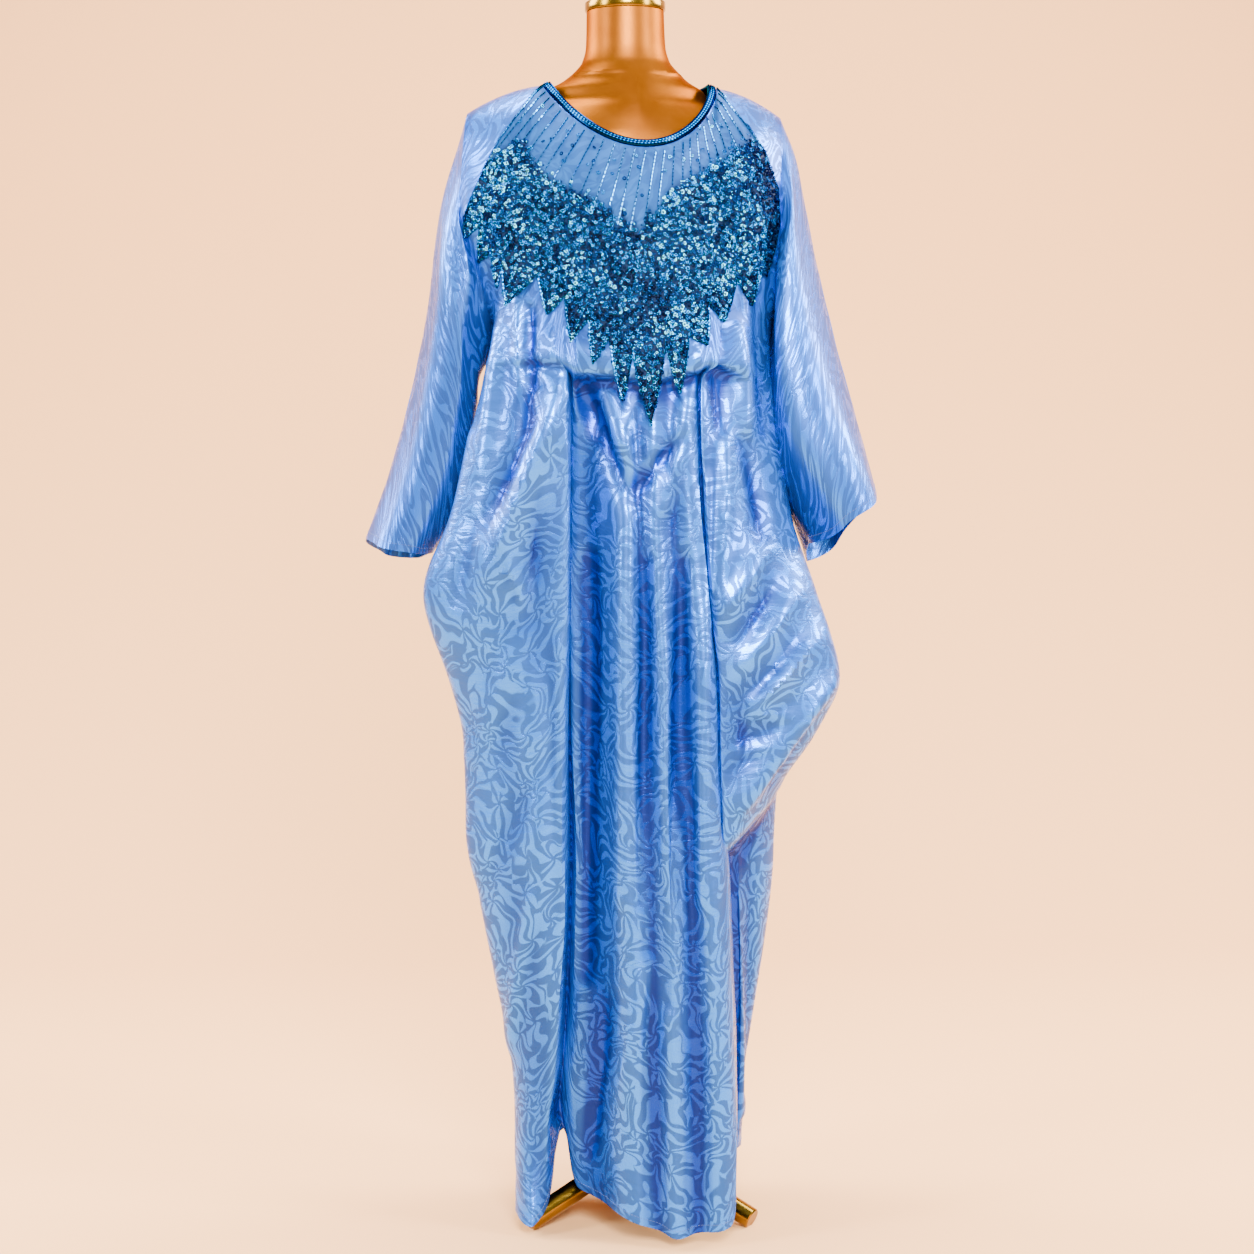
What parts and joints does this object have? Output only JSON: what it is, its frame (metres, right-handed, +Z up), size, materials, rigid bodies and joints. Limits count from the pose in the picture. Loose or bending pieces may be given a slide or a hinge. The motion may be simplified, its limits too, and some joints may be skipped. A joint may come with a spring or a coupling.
{
  "type": "kaftan dress on dress form stand",
  "caption": "Full-length satin kaftan with wide open sleeves and a spiky beaded bib, hanging on a limbless dress form on a brass tripod.",
  "frame": {"origin": "on the floor, under the middle of the whole object's box", "axes": "+Z up; -Y is the front of the dress; +X to the right of someone who faces it"},
  "size_m": [0.6466, 0.345, 1.545],
  "materials": {
    "satin": "light blue jacquard satin with swirling leaves, soft metallic sheen",
    "beaded_net": "blue net sewn with teal, navy and silver sequins, bugle and seed beads",
    "gold_cover": "satin gold paint",
    "brass": "polished"
  },
  "bodies": {
    "root": {"front_panel": "satin", "back_panel": "satin", "left_sleeve": "satin", "right_sleeve": "satin", "beaded_bib": "beaded_net", "neck_binding": "beaded_net", "dress_form": "gold_cover", "neck_cap": "brass", "stand_pole": "brass", "stand_hub": "brass", "leg_left": "brass", "leg_right": "brass", "leg_back": "brass"}
  },
  "joints": []
}
